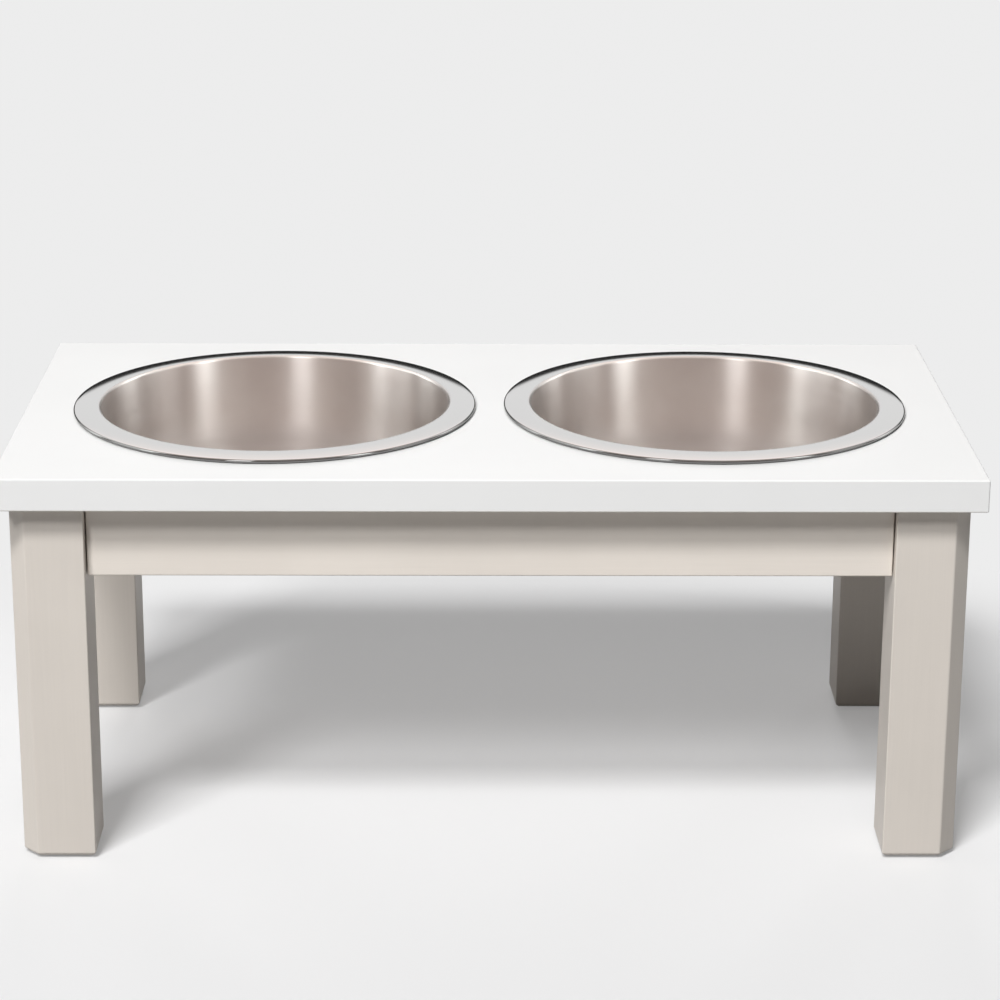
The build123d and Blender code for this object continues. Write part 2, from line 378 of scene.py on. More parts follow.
def paintBowl(wire):
    # "spun" holds the cosine and sine of the angle round the bowl, and the way along its sheet
    spun = wire.node("ShaderNodeAttribute", {"attribute_name": "spun"}, output="Vector")
    across, beside, along = spun.axes()
    fine, wide = bowlSteel["brushRound"], bowlSteel["broadRound"]
    lines = wire.vector(across * fine, beside * fine, along / bowlSteel["brushWidth"])
    lines = lines.noise(1.0, *bowlSteel["brushForm"])
    broad = wire.vector(across * wide, beside * wide, along * bowlSteel["broadAlong"]).noise(1.0)
    inside = 1 - along.rise(*[bowlLengths["lip"] + part for part in bowlSteel["lipEdge"]])
    under = along.rise(bowlLengths["roll"], bowlLengths["roll"] + bowlSteel["underBlend"])
    brushed = inside.most(under)
    # Painted shade: past the rim the rolled edge gets a darker colour, in place of the dark reflections and
    # the shadow where it meets the tabletop
    paintedShadeStart = bowlLengths["rim"] + bowlSteel["paintedShadeFrom"]
    paintedShadeMask = along.rise(paintedShadeStart, paintedShadeStart + bowlSteel["paintedShadeBlend"]) * (1 - under)
    cloud = objectPlace(wire).noise(bowlSteel["stainScale"]).rise(*bowlSteel["stainFrom"])
    steel = cloud.tint(bowlSteel["colour"], bowlSteel["stain"])
    paintedShadeColour = tuple(part * bowlSteel["paintedSeamShade"] for part in bowlSteel["rimColour"])
    rimWithPaintedShade = paintedShadeMask.tint(bowlSteel["rimColour"], paintedShadeColour)
    corner = 1 - along.rise(*[bowlLengths["corner"] + part for part in bowlSteel["cornerBlend"]])
    rough = bowlSteel["insideRoughness"] + broad * bowlSteel["wear"] + corner * bowlSteel["cornerRoughness"]
    return {
        "Base Color": brushed.tint(rimWithPaintedShade, steel),
        "Roughness": brushed * (rough - bowlSteel["rimRoughness"]) + bowlSteel["rimRoughness"],
        "Normal": (lines * brushed).bump(bowlSteel["brushDepth"]),
    }


# Meshes

def link(name, mesh):
    piece = bpy.data.objects.new(name, mesh)
    scene.collection.objects.link(piece)
    return piece


def keep(name, mesh, body, nodes):
    # A finished piece rides on its body and stands for its nodes
    piece = link(name, mesh)
    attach(piece, body)
    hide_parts(*nodes)
    return piece


def tidyMesh(mesh, sharpAngle=32.0):
    form = bmesh.new()
    form.from_mesh(mesh)
    bmesh.ops.recalc_face_normals(form, faces=form.faces)
    form.to_mesh(mesh)
    form.free()
    mesh.shade_smooth()
    mesh.set_sharp_from_angle(angle=radians(sharpAngle))
    return mesh


def startTree(name, inputs):
    # A Geometry Nodes tree with one named input for each value that it takes
    tree = bpy.data.node_groups.new(name, "GeometryNodeTree")
    for label, kind in inputs.items():
        tree.interface.new_socket(label, in_out="INPUT", socket_type="NodeSocket" + kind)
    tree.interface.new_socket("Finish", in_out="INPUT", socket_type="NodeSocketMaterial")
    tree.interface.new_socket("Shape", in_out="OUTPUT", socket_type="NodeSocketGeometry")
    entry = tree.nodes.new("NodeGroupInput")
    return {label: Wire(tree, entry.outputs[label]) for label in [*inputs, "Finish"]}


def endTree(shape, finish):
    real = shape.node("GeometryNodeRealizeInstances", None, {0: shape})
    done = shape.node("GeometryNodeSetMaterial", None, {0: real, "Material": finish})
    shape.tree.links.new(done.socket, shape.tree.nodes.new("NodeGroupOutput").inputs[0])
    return shape.tree


def grow(name, tree, values):
    # Runs a tree once and keeps what it makes as a plain mesh
    holder = link(name + "Holder", bpy.data.meshes.new(name + "Holder"))
    modifier = holder.modifiers.new("grow", "NODES")
    modifier.node_group = tree
    for item in tree.interface.items_tree:
        if item.in_out == "INPUT":
            modifier[item.identifier] = values[item.name]
    depsgraph = bpy.context.evaluated_depsgraph_get()
    mesh = bpy.data.meshes.new_from_object(
        holder.evaluated_get(depsgraph), preserve_all_data_layers=True, depsgraph=depsgraph
    )
    holder.modifiers.remove(modifier)
    bpy.data.objects.remove(holder)
    mesh.name = name
    return tidyMesh(mesh)


def drawLine(name, points):
    # A hidden guide: a straight-sided curve through the points
    curve = bpy.data.curves.new(name, "CURVE")
    curve.dimensions = "3D"
    spline = curve.splines.new("POLY")
    spline.points.add(len(points) - 1)
    for spot, (x, y, z) in zip(spline.points, points):
        spot.co = (x, y, z, 1)
    guide = link(name, curve)
    guide.hide_render = True
    return guide


def buildSpinTree():
    # Spins the line of a section round the Z axis, row by row, and notes where each point lies on it
    given = startTree("spinSheet", {"Section": "Object", "Steps round": "Int", "Middle": "Vector"})
    section = given["Section"].node("GeometryNodeObjectInfo", None, {"Object": given["Section"]}, "Geometry")
    settings = {"component": "CURVE"}
    count = section.node("GeometryNodeAttributeDomainSize", settings, {0: section}, "Point Count")
    sockets = {"Size X": 1.0, "Size Y": 1.0, "Vertices X": count, "Vertices Y": given["Steps round"] + 1}
    sheet = section.node("GeometryNodeMeshGrid", None, sockets)
    place = section.node("GeometryNodeInputPosition")
    column, turn, _ = place.axes()
    row = ((column + 0.5) * (count - 1)).maths("ROUND", (column + 0.5) * (count - 1))
    sockets = {"Geometry": section, "Value": place, "Index": row}
    line = section.node("GeometryNodeSampleIndex", {"data_type": "FLOAT_VECTOR", "domain": "POINT"}, sockets)
    length = section.node("GeometryNodeSplineParameter", output="Length")
    sockets = {"Geometry": section, "Value": length, "Index": row}
    along = section.node("GeometryNodeSampleIndex", {"data_type": "FLOAT", "domain": "POINT"}, sockets)
    radius, _, height = line.axes()
    angle = (turn + 0.5) * (2 * pi)
    settings = {"data_type": "FLOAT_VECTOR", "domain": "POINT"}
    sockets = {0: sheet, "Name": "spun", "Value": section.vector(angle.cosine(), angle.sine(), along)}
    noted = section.node("GeometryNodeStoreNamedAttribute", settings, sockets)
    target = section.vector(radius * angle.cosine(), radius * angle.sine(), height)
    target = section.node("ShaderNodeVectorMath", {"operation": "ADD"}, {0: target, 1: given["Middle"]})
    moved = section.node("GeometryNodeSetPosition", None, {0: noted, "Position": target})
    closed = section.node("GeometryNodeMergeByDistance", None, {0: moved, "Distance": bowl["mergeWithin"]})
    return endTree(closed, given["Finish"])


# Bowls: the section of the sheet runs from the middle of the base, up the wall, over the lip and rim,
# round the rolled edge and back along the underside

bowl = {
    "mouthRadius": 0.1045,
    "lipRadius": 0.0016,
    "rollRadius": 0.0013,
    "rollTurn": radians(265),
    "sheet": 0.0007,
    "draft": radians(1.2),
    "cornerRadius": 0.028,
    "rimLift": 0.0002,
    "stepsRound": 256,
    "mergeWithin": 0.000002,
    "baseSteps": 12,
    "cornerSteps": 22,
    "wallSteps": 6,
    "lipSteps": 10,
    "rimSteps": 8,
    "rollSteps": 20,
}
bowlLengths = {}  # how far along the sheet each part of the section ends


def addArc(points, heading, radius, turn, steps):
    # Carries the line on along an arc; a left turn is positive
    side = 1 if turn > 0 else -1
    x, z = points[-1]
    middleX = x - side * radius * sin(heading)
    middleZ = z + side * radius * cos(heading)
    for step in range(1, steps + 1):
        angle = heading + turn * step / steps
        points.append((middleX + side * radius * sin(angle), middleZ - side * radius * cos(angle)))
    return heading + turn


def addRun(points, x, z, steps):
    startX, startZ = points[-1]
    for step in range(1, steps + 1):
        share = step / steps
        points.append((startX + (x - startX) * share, startZ + (z - startZ) * share))


def pathLength(points):
    return sum(((b[0] - a[0]) ** 2 + (b[1] - a[1]) ** 2) ** 0.5 for a, b in zip(points, points[1:]))


def bowlLine(depth, rimRadius, baseZ, crestZ, topZ):
    # One side of the sheet, at a depth counted from its food side
    draft = bowl["draft"]
    lip = bowl["lipRadius"] - depth
    crest = bowl["mouthRadius"] + bowl["lipRadius"] * cos(draft)
    wallTop = crest - lip * cos(draft)
    wallTopZ = crestZ - bowl["lipRadius"] + lip * sin(draft)
    floorZ = baseZ + bowl["sheet"] - depth
    corner = bowl["cornerRadius"] + depth
    base = wallTop - (wallTopZ - floorZ) * tan(draft)
    span = rimRadius - bowl["rollRadius"] - crest
    fall = crestZ - topZ - bowl["rimLift"] - 2 * bowl["rollRadius"]
    rimAngle = 2 * atan(fall / span)
    crown = span / sin(rimAngle) + bowl["rollRadius"]

    points = [(0.0, floorZ)]
    addRun(points, base - corner * tan((pi / 2 - draft) / 2), floorZ, bowl["baseSteps"])
    heading = addArc(points, 0.0, corner, pi / 2 - draft, bowl["cornerSteps"])
    bowlLengths.setdefault("corner", pathLength(points))
    addRun(points, wallTop, wallTopZ, bowl["wallSteps"])
    bowlLengths.setdefault("lip", pathLength(points))
    heading = addArc(points, heading, lip, draft - pi / 2, bowl["lipSteps"])
    heading = addArc(points, heading, crown - depth, -rimAngle, bowl["rimSteps"])
    bowlLengths.setdefault("rim", pathLength(points))
    addArc(points, heading, bowl["rollRadius"] - depth, -bowl["rollTurn"], bowl["rollSteps"])
    bowlLengths.setdefault("roll", pathLength(points))
    return points


def buildBowls():
    low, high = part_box("bowl_left")
    sizes = ((high.x - low.x) / 2, low.z, high.z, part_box("tabletop")[1].z)
    line = bowlLine(0.0, *sizes) + bowlLine(bowl["sheet"], *sizes)[::-1]
    constants = {"Metallic": 1.0, "Anisotropic": bowlSteel["anisotropy"]}
    constants["Anisotropic Rotation"] = bowlSteel["anisotropyTurn"]
    finish = newFinish("bowlSteel", constants, paintBowl)
    tree = buildSpinTree()
    for name, node in (("bowlLeft", "bowl_left"), ("bowlRight", "bowl_right")):
        low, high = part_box(node)
        section = drawLine(name + "Section", [(radius, 0.0, height) for radius, height in line])
        values = {"Section": section, "Steps round": bowl["stepsRound"], "Finish": finish}
        values["Middle"] = ((low.x + high.x) / 2, (low.y + high.y) / 2, 0.0)
        mesh = grow(name, tree, values)
        bpy.data.objects.remove(section)
        keep(name, mesh, node, [node])
    print("bowls spun")


# Painted woodwork: boards and legs are straight prisms with softened edges

def prism(outline, bottom, top, holes=(), footEase=0.0):
    form = bmesh.new()
    loops = [outline, *holes]
    edges = []
    for loop in loops:
        spots = [form.verts.new((x, y, bottom)) for x, y in loop]
        edges += [form.edges.new((a, b)) for a, b in zip(spots, spots[1:] + spots[:1])]
    if holes:
        bmesh.ops.triangle_fill(form, use_beauty=True, edges=edges)
    else:
        form.faces.new(form.verts)
    raised = bmesh.ops.extrude_face_region(form, geom=form.faces[:])["geom"]
    lifted = [item for item in raised if isinstance(item, bmesh.types.BMVert)]
    bmesh.ops.translate(form, verts=lifted, vec=(0, 0, top - bottom))
    bmesh.ops.recalc_face_normals(form, faces=form.faces)
    if footEase:
        under = [edge for edge in form.edges if all(spot.co.z < bottom + footEase / 2 for spot in edge.verts)]
        bmesh.ops.bevel(form, geom=under, offset=footEase, segments=1, affect="EDGES")
    mesh = bpy.data.meshes.new("prism")
    form.to_mesh(mesh)
    form.free()
    return mesh


def soften(piece, width, sharpAngle=30.0):
    bevel = piece.modifiers.new("softEdges", "BEVEL")
    bevel.width = width
    bevel.segments = 3
    bevel.limit_method = "ANGLE"
    bevel.angle_limit = radians(sharpAngle)
    bevel.harden_normals = True
    piece.data.shade_smooth()
    piece.data.set_sharp_from_angle(angle=radians(sharpAngle))


def ring(x, y, radius, steps):
    angles = [2 * pi * step / steps for step in range(steps)]
    return [(x + radius * cos(angle), y + radius * sin(angle)) for angle in angles]


tabletop = {
    "holeClearance": 0.0024,
    "edge": 0.0009,
    "holeSteps": 192,
}


def buildTabletop():
    low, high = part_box("tabletop")
    outline = [(low.x, low.y), (high.x, low.y), (high.x, high.y), (low.x, high.y)]
    holes = []
    for node in ("bowl_left", "bowl_right"):
        bowlLow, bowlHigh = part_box(node)
        radius = bowl["mouthRadius"] + bowl["sheet"] + tabletop["holeClearance"]
        holes.append(ring((bowlLow.x + bowlHigh.x) / 2, 0.0, radius, tabletop["holeSteps"]))
    mesh = prism(outline, low.z, high.z, holes)
    mesh.materials.append(newFinish("whitePaint", {}, paintTop))
    piece = keep("whiteTop", mesh, "stand", ["tabletop"])
    soften(piece, tabletop["edge"])
    print("tabletop cut")


leg = {
    "chamfer": 0.0092,
    "footEase": 0.002,
    "edge": 0.0008,
}
rail = {
    "edge": 0.0009,
}
corners = {"front_left": (-1, -1), "front_right": (1, -1), "back_left": (-1, 1), "back_right": (1, 1)}


def camel(node):
    first, *rest = node.split("_")
    return first + "".join(word.capitalize() for word in rest)


def buildLegs():
    finish = newFinish("taupeLegs", {}, paintedWood(2, taupeCoat["legTone"]))
    for name, (sideX, sideY) in corners.items():
        low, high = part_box("leg_" + name)
        outerX, innerX = (high.x, low.x) if sideX > 0 else (low.x, high.x)
        outerY, innerY = (high.y, low.y) if sideY > 0 else (low.y, high.y)
        outline = [
            (innerX, innerY),
            (outerX, innerY),
            (outerX, outerY - sideY * leg["chamfer"]),
            (outerX - sideX * leg["chamfer"], outerY),
            (innerX, outerY),
        ]
        mesh = prism(outline, low.z, high.z, footEase=leg["footEase"])
        mesh.materials.append(finish)
        piece = keep(camel("leg_" + name), mesh, "stand", ["leg_" + name])
        soften(piece, leg["edge"])
    print("legs cut")


def buildRails():
    for along, nodes in ((0, ("front_rail", "back_rail")), (1, ("left_rail", "right_rail"))):
        finish = newFinish("taupeRails" + "XY"[along], {}, paintedWood(along, taupeCoat["railTone"]))
        for node in nodes:
            low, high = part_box(node)
            outline = [(low.x, low.y), (high.x, low.y), (high.x, high.y), (low.x, high.y)]
            mesh = prism(outline, low.z, high.z)
            mesh.materials.append(finish)
            piece = keep(camel(node), mesh, "stand", [node])
            soften(piece, rail["edge"])
    print("rails cut")


# Fasteners: each kind has one tree, which makes the piece along its own Z axis and sets it out.
# Every place is a point on a joint and the way that the piece faces there.

def sweepRod(given, start, end, profile, radius, steps):
    # Sweeps a profile of radius 1 straight up from start to end; radius may vary with the height
    sockets = {"Start": given.vector(0.0, 0.0, start), "End": given.vector(0.0, 0.0, end)}
    line = given.node("GeometryNodeCurvePrimitiveLine", None, sockets)
    line = given.node("GeometryNodeResampleCurve", None, {"Curve": line, "Count": steps})
    sockets = {"Curve": line, "Profile Curve": profile, "Scale": radius, "Fill Caps": True}
    return given.node("GeometryNodeCurveToMesh", None, sockets)


def roundProfile(given, corners):
    return given.node("GeometryNodeCurvePrimitiveCircle", None, {"Resolution": corners, "Radius": 1.0})


threadForm = {
    "stepsPerTurn": 20,
    "corners": 4,
}


def windThread(given, start, end, radius, endRadius, pitch, ridge):
    tall = end - start
    sockets = {"Resolution": threadForm["stepsPerTurn"], "Rotations": tall / pitch, "Height": tall}
    sockets.update({"Start Radius": radius, "End Radius": endRadius})
    line = given.node("GeometryNodeCurveSpiral", None, sockets)
    sockets = {"Resolution": threadForm["corners"], "Radius": ridge}
    profile = given.node("GeometryNodeCurvePrimitiveCircle", None, sockets)
    sockets = {"Curve": line, "Profile Curve": profile, "Fill Caps": True}
    return shift(given.node("GeometryNodeCurveToMesh", None, sockets), start)


def shift(shape, height, turn=0.0):
    sockets = {"Geometry": shape, "Translation": shape.vector(0.0, 0.0, height), "Rotation": (0.0, 0.0, turn)}
    return shape.node("GeometryNodeTransform", None, sockets)


def together(*shapes):
    joined = shapes[0].node("GeometryNodeJoinGeometry")
    for shape in reversed(shapes):
        shape.tree.links.new(shape.socket, joined.socket.node.inputs[0])
    return joined


def carve(operation, shape, *others):
    settings = {"operation": operation, "solver": "EXACT"}
    if operation == "DIFFERENCE":
        cut = shape.node("GeometryNodeMeshBoolean", settings, {"Mesh 1": shape})
    else:
        cut = shape.node("GeometryNodeMeshBoolean", settings)
        others = (shape, *others)
    for other in others:
        other.tree.links.new(other.socket, cut.socket.node.inputs["Mesh 2"])
    return cut


def setOut(shape, places):
    points = shape.node("GeometryNodeObjectInfo", None, {"Object": places}, "Geometry")
    facing = shape.node("GeometryNodeInputNamedAttribute", {"data_type": "FLOAT_VECTOR"}, {"Name": "facing"})
    turn = shape.node("FunctionNodeAlignRotationToVector", {"axis": "Z"}, {"Vector": facing})
    sockets = {"Points": points, "Instance": shape, "Rotation": turn}
    return shape.node("GeometryNodeInstanceOnPoints", None, sockets)


def heightAlong(given):
    return given.node("GeometryNodeInputPosition").axes()[2]


screwForm = {  # shares of the shank's or the head's own size
    "core": 0.74,
    "tip": 0.12,
    "ridge": 0.26,
    "tipRidge": 0.2,
    "tipThreadFrom": -0.97,
    "threadInWood": 0.5,
    "crownFrom": 0.15,
    "crownFall": 0.42,
    "slotDepth": 1.1,
    "corners": 20,
    "headCorners": 32,
    "steps": 36,
    "headSteps": 12,
}


def buildScrewTree():
    labels = ["Shank", "Head", "Head height", "Wood", "Bite", "Point", "Pitch", "Recess", "Recess width"]
    given = startTree("woodScrew", {"Places": "Object", **dict.fromkeys(labels, "Float")})
    values = [given[label] for label in labels]
    shank, head, headHeight, wood, bite, point, pitch, recess, recessWidth = values
    height = heightAlong(shank)
    core = shank * screwForm["core"]
    taper = ((height + bite) / point).least(1.0).most(screwForm["tip"])
    profile = roundProfile(shank, screwForm["corners"])
    body = sweepRod(shank, bite * -1.0, wood, profile, core * taper, screwForm["steps"])
    threadEnd, ridge = wood * screwForm["threadInWood"], shank * screwForm["ridge"]
    thread = windThread(shank, point - bite, threadEnd, core, core, pitch, ridge)
    tipFrom, tipCore = bite * screwForm["tipThreadFrom"], core * screwForm["tip"]
    tipThread = windThread(shank, tipFrom, point - bite, tipCore, core, pitch, shank * screwForm["tipRidge"])
    crown = ((height - wood) / headHeight).rise(screwForm["crownFrom"], 1.0)
    radius = head * (1 - crown * crown * screwForm["crownFall"])
    top = wood + headHeight
    profile = roundProfile(shank, screwForm["headCorners"])
    dome = sweepRod(shank, wood, top, profile, radius, screwForm["headSteps"])
    slots = []
    for length, width in ((recess, recessWidth), (recessWidth, recess)):
        size = shank.vector(length, width, headHeight * screwForm["slotDepth"])
        slots.append(shift(shank.node("GeometryNodeMeshCube", None, {"Size": size}), top))
    dome = carve("DIFFERENCE", dome, *slots)
    return endTree(setOut(together(body, thread, tipThread, dome), given["Places"]), given["Finish"])


boltForm = {  # shares of the bolt's radius
    "core": 0.82,
    "tip": 0.2,
    "endRound": 0.75,
    "woodCore": 0.97,
    "woodRidge": 0.2,
    "machineCore": 0.99,
    "machineRidge": 0.15,
    "corners": 24,
    "steps": 80,
}


def buildBoltTree():
    labels = ["Radius", "Tip at", "Wood end at", "Machine from", "End at"]
    labels += ["Point", "Wood pitch", "Machine pitch"]
    given = startTree("hangerBolt", {"Places": "Object", **dict.fromkeys(labels, "Float")})
    radius, tipAt, woodEnd, machineFrom, endAt, point, woodPitch, pitch = [given[label] for label in labels]
    height = heightAlong(radius)
    core = radius * boltForm["core"]
    taper = ((height - tipAt) / point).least(1.0).most(boltForm["tip"])
    taper = taper * ((endAt - height) / radius + boltForm["endRound"]).least(1.0)
    profile = roundProfile(radius, boltForm["corners"])
    body = sweepRod(radius, tipAt, endAt, profile, core * taper, boltForm["steps"])
    inner, ridge = core * boltForm["woodCore"], radius * boltForm["woodRidge"]
    coarse = windThread(radius, tipAt + point, woodEnd, inner, inner, woodPitch, ridge)
    inner, ridge = core * boltForm["machineCore"], radius * boltForm["machineRidge"]
    fine = windThread(radius, machineFrom, endAt - pitch, inner, inner, pitch, ridge)
    return endTree(setOut(together(body, coarse, fine), given["Places"]), given["Finish"])


washerForm = {
    "steps": 72,
    "edgeSteps": 3,
}


def buildWasherTree():
    labels = ["Outer", "Inner", "Seat at", "Thickness", "Edge"]
    given = startTree("plainWasher", {"Places": "Object", **dict.fromkeys(labels, "Float")})
    outer, inner, seatAt, thickness, edge = [given[label] for label in labels]
    sockets = {"Resolution": washerForm["steps"], "Radius": (outer + inner) / 2.0}
    middle = outer.node("GeometryNodeCurvePrimitiveCircle", None, sockets)
    sockets = {"Width": outer - inner, "Height": thickness}
    profile = outer.node("GeometryNodeCurvePrimitiveQuadrilateral", None, sockets)
    sockets = {"Curve": profile, "Count": washerForm["edgeSteps"], "Radius": edge}
    profile = outer.node("GeometryNodeFilletCurve", {"mode": "POLY"}, sockets)
    disc = outer.node("GeometryNodeCurveToMesh", None, {"Curve": middle, "Profile Curve": profile})
    disc = shift(disc, seatAt + thickness / 2.0)
    return endTree(setOut(disc, given["Places"]), given["Finish"])


nutForm = {
    "blankHeight": 1.4,
    "endRadius": 0.875,  # the turned ends, as shares of the radius to a corner
    "endSlope": 1.1,
    "endRise": 0.16,
    "corners": 48,
    "boreCorners": 24,
    "steps": 24,
}


def buildNutTree():
    labels = ["Across flats", "Height", "Seat at", "Bore"]
    given = startTree("hexNut", {"Places": "Object", **dict.fromkeys(labels, "Float")})
    across, tall, seatAt, bore = [given[label] for label in labels]
    corner = across / 3 ** 0.5
    sockets = {"Vertices": 6, "Radius": corner, "Depth": tall * nutForm["blankHeight"]}
    hexagon = across.node("GeometryNodeMeshCylinder", None, sockets)
    hexagon = shift(hexagon, seatAt + tall / 2.0, radians(30))
    height = heightAlong(across)
    fromEnd = (height - seatAt).least(seatAt + tall - height) / tall
    ends = corner * (nutForm["endRadius"] + (fromEnd * nutForm["endSlope"]).least(nutForm["endRise"]))
    profile = roundProfile(across, nutForm["corners"])
    paintedShadeMask = sweepRod(across, seatAt, seatAt + tall, profile, ends, nutForm["steps"])
    profile = roundProfile(across, nutForm["boreCorners"])
    hole = sweepRod(across, seatAt - tall, seatAt + tall * 2.0, profile, bore, 2)
    nut = carve("DIFFERENCE", carve("INTERSECT", hexagon, paintedShadeMask), hole)
    return endTree(setOut(nut, given["Places"]), given["Finish"])


dowelForm = {
    "fluteDepth": 0.93,  # as a share of the radius
    "steps": 48,
}


def buildDowelTree():
    labels = ["Radius", "From", "To", "Ease"]
    given = startTree("flutedDowel", {"Places": "Object", **dict.fromkeys(labels, "Float"), "Flutes": "Int"})
    radius, start, end, ease = [given[label] for label in labels]
    sockets = {"Points": given["Flutes"], "Inner Radius": dowelForm["fluteDepth"], "Outer Radius": 1.0}
    star = radius.node("GeometryNodeCurveStar", None, sockets)
    height = heightAlong(radius)
    fromEnd = (height - start).least(end - height)
    body = sweepRod(radius, start, end, star, radius - (ease - fromEnd).most(0.0), dowelForm["steps"])
    return endTree(setOut(body, given["Places"]), given["Finish"])


def markPlaces(name, places):
    mesh = bpy.data.meshes.new(name)
    mesh.from_pydata([spot for spot, _ in places], [], [])
    facing = mesh.attributes.new("facing", "FLOAT_VECTOR", "POINT")
    for item, (_, way) in zip(facing.data, places):
        item.vector = way
    marks = link(name, mesh)
    marks.hide_render = True
    return marks


legBolt = {
    "Radius": 0.003, "Tip at": -0.02924, "Wood end at": -0.003, "Machine from": 0.004, "End at": 0.02793,
    "Point": 0.004, "Wood pitch": 0.0024, "Machine pitch": 0.001,
}
washer = {"Outer": 0.009, "Inner": 0.00305, "Seat at": 0.01883, "Thickness": 0.0016, "Edge": 0.0002}
nut = {"Across flats": 0.01, "Height": 0.005, "Seat at": 0.02043, "Bore": 0.0029}
screwShape = {
    "Shank": 0.0019, "Head": 0.0038, "Head height": 0.0026, "Point": 0.004, "Pitch": 0.0013,
    "Recess": 0.0038, "Recess width": 0.0009,
}
blockScrew = {**screwShape, "Wood": 0.012, "Bite": 0.013}
topScrew = {**screwShape, "Wood": 0.016, "Bite": 0.012}
dowel = {"Radius": 0.004, "From": -0.015, "To": 0.0157, "Ease": 0.0008, "Flutes": 20}
layout = {
    "blockGap": 0.002,
    "blockScrewFromNotch": 0.02,
    "topScrewFromNotch": 0.008,
    "dowelSpacing": 0.022,
}


def fastenerPlaces():
    # Everything is set out from the inner corners of the legs and the inner faces of the rails
    legLow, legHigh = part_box("leg_front_left")
    insideX, insideY = -legHigh.x, -legHigh.y
    sideLow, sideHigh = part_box("left_rail")
    longLow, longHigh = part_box("front_rail")
    sideFace, sideMiddle = -sideHigh.x, -(sideLow.x + sideHigh.x) / 2
    longFace, longMiddle = -longHigh.y, -(longLow.y + longHigh.y) / 2
    middle, under = (longLow.z + longHigh.z) / 2, longHigh.z
    notchX, notchY = insideX - layout["blockGap"], insideY - layout["blockGap"]
    fromNotch = layout["topScrewFromNotch"]
    places = {name: [] for name in ("bolt", "dowel", "blockScrew", "topScrew")}
    for sideX, sideY in corners.values():
        places["bolt"].append(((sideX * insideX, sideY * insideY, middle), (-sideX, -sideY, 0)))
        for z in (middle - layout["dowelSpacing"] / 2, middle + layout["dowelSpacing"] / 2):
            places["dowel"].append(((sideX * insideX, sideY * longMiddle, z), (-sideX, 0, 0)))
            places["dowel"].append(((sideX * sideMiddle, sideY * insideY, z), (0, -sideY, 0)))
        x, y = notchX - layout["blockScrewFromNotch"], notchY - layout["blockScrewFromNotch"]
        places["blockScrew"].append(((sideX * x, sideY * longFace, middle), (0, -sideY, 0)))
        places["blockScrew"].append(((sideX * sideFace, sideY * y, middle), (-sideX, 0, 0)))
        spots = ((notchX - fromNotch, (notchY + longFace) / 2), ((notchX + sideFace) / 2, notchY - fromNotch))
        places["topScrew"] += [((sideX * x, sideY * y, under), (0, 0, -1)) for x, y in spots]
    return places


def buildFasteners():
    zinc = newFinish("zincPlate", {"Metallic": 1.0}, paintZinc)
    wood = newFinish("dowelWood", {}, paintDowelWood)
    screws = buildScrewTree()
    kinds = {
        "hangerBolts": (buildBoltTree(), legBolt, "bolt", zinc, "zinc_steel", "hanger_bolts"),
        "boltWashers": (buildWasherTree(), washer, "bolt", zinc, "zinc_steel", "bolt_washers"),
        "hexNuts": (buildNutTree(), nut, "bolt", zinc, "zinc_steel", "hex_nuts"),
        "blockScrews": (screws, blockScrew, "blockScrew", zinc, "zinc_steel", "block_screws"),
        "topScrews": (screws, topScrew, "topScrew", zinc, "zinc_steel", "top_screws"),
        "railDowels": (buildDowelTree(), dowel, "dowel", wood, "dowel_wood", "rail_dowels"),
    }
    places = fastenerPlaces()
    for name, (tree, sizes, where, finish, slot, node) in kinds.items():
        marks = markPlaces(name + "Places", places[where])
        mesh = grow(name, tree, {**sizes, "Places": marks, "Finish": finish})
        bpy.data.objects.remove(marks)
        keep(name, mesh, "stand", [node])
    print("fasteners set out")


def finishHiddenNodes():
    finishes = {
        "bare_wood": newFinish("bareWood", {}, paintBareWood),
        "foot_rubber": newFinish("footRubber", {}, paintRubber),
    }
    slots = {part["node"]: part["material_slot"] for part in frame["record"]["subparts"]}
    for node, piece in frame["nodes"].items():
        if slots[node] in finishes:
            for place in piece.material_slots:
                place.material = finishes[slots[node]]
    print("frame nodes finished")


# Studio

studio = {
    "floorColour": (0.825, 0.825, 0.83),
    "floorRoughness": 0.9,
    "floorFibre": 700.0,
    "fibreTone": 0.99,
    "floorBounce": (0.33, 0.33, 0.33),
    "floorFade": (0.57, 0.78),
    "floorFadeFrom": -0.3,
    "floorGlow": 0.27,
    "floorSize": 9.0,
    "backdrop": (0.845, 0.845, 0.845),
    "aim": (0.0, 0.0, 0.1),
    "lampSize": 1.4,
    "lampDistance": 8.0,
    "lamps": {  # degrees to the right of the camera side, degrees up, watts
        "keyLamp": (-17, 55, 430.0),
        "keySide": (-32, 38, 254.0),
        "keyHigh": (-32, 55, 92.0),
        "backHigh": (180, 50, 78.0),
        "backLow": (180, 25, 42.0),
        "backRight": (150, 25, 33.0),
        "backLeft": (-150, 25, 26.0),
    },
    "mirrored": {"place": (-0.43, -1.05, 0.95), "size": (0.26, 1.3), "watts": 3.1},
}


def hangLamp(name, place, width, height, watts, aim):
    light = bpy.data.lights.new(name, "AREA")
    light.shape = "RECTANGLE"
    light.size, light.size_y = width, height
    light.energy = watts
    holder = link(name, light)
    holder.location = place
    holder.rotation_euler = (Vector(aim) - Vector(place)).to_track_quat("-Z", "Y").to_euler()
    return holder


